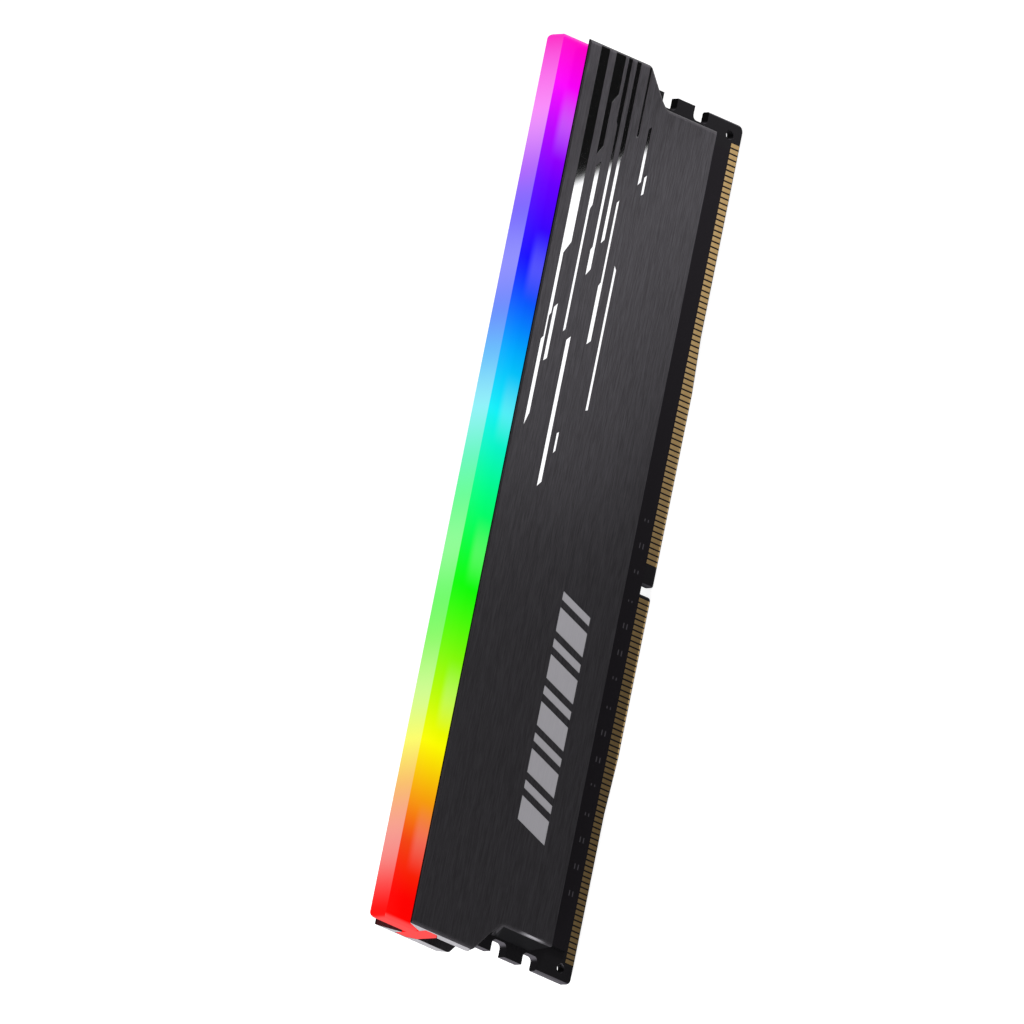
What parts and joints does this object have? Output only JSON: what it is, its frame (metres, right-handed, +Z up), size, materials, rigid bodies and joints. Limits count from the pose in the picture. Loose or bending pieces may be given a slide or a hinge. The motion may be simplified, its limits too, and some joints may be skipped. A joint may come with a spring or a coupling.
{
  "type": "ram module",
  "caption": "Desktop memory module: board with an edge connector between two brushed metal heat spreaders, with a translucent rainbow-lit bar along the top.",
  "frame": {"origin": "middle of the contact edge: the bottom centre of the whole module", "axes": "+X along the module towards the end with the longer group of contacts, +Y out of the face that carries the memory chips (the decorated face is on -Y), +Z up from the contacts to the light bar"},
  "size_m": [0.1372, 0.0082, 0.0406],
  "materials": {
    "board": "black solder mask on glass-fibre board",
    "gold": "gold plated",
    "plate": "brushed, dark grey anodised, bare cut ends",
    "light_bar": "translucent diffuser, lit in a rainbow along its length",
    "thermal_pad": "soft silicone pad",
    "chip": "moulded black epoxy",
    "led": "white moulded body",
    "resistor": "black glazed chip",
    "capacitor": "tan fired chip"
  },
  "bodies": {
    "root": {"circuit_board": "board", "front_contacts": "gold", "rear_contacts": "gold", "front_plate": "plate", "rear_plate": "plate", "light_bar": "light_bar", "front_thermal_pad": "thermal_pad", "rear_thermal_pad": "thermal_pad", "light_controller": "chip", "serial_presence_chip": "chip", "resistor_networks": "resistor", "capacitors": "capacitor", "memory_chip_1": "chip", "memory_chip_2": "chip", "memory_chip_3": "chip", "memory_chip_4": "chip", "memory_chip_5": "chip", "memory_chip_6": "chip", "memory_chip_7": "chip", "memory_chip_8": "chip", "led_1": "led", "led_2": "led", "led_3": "led", "led_4": "led", "led_5": "led", "led_6": "led"}
  },
  "joints": []
}
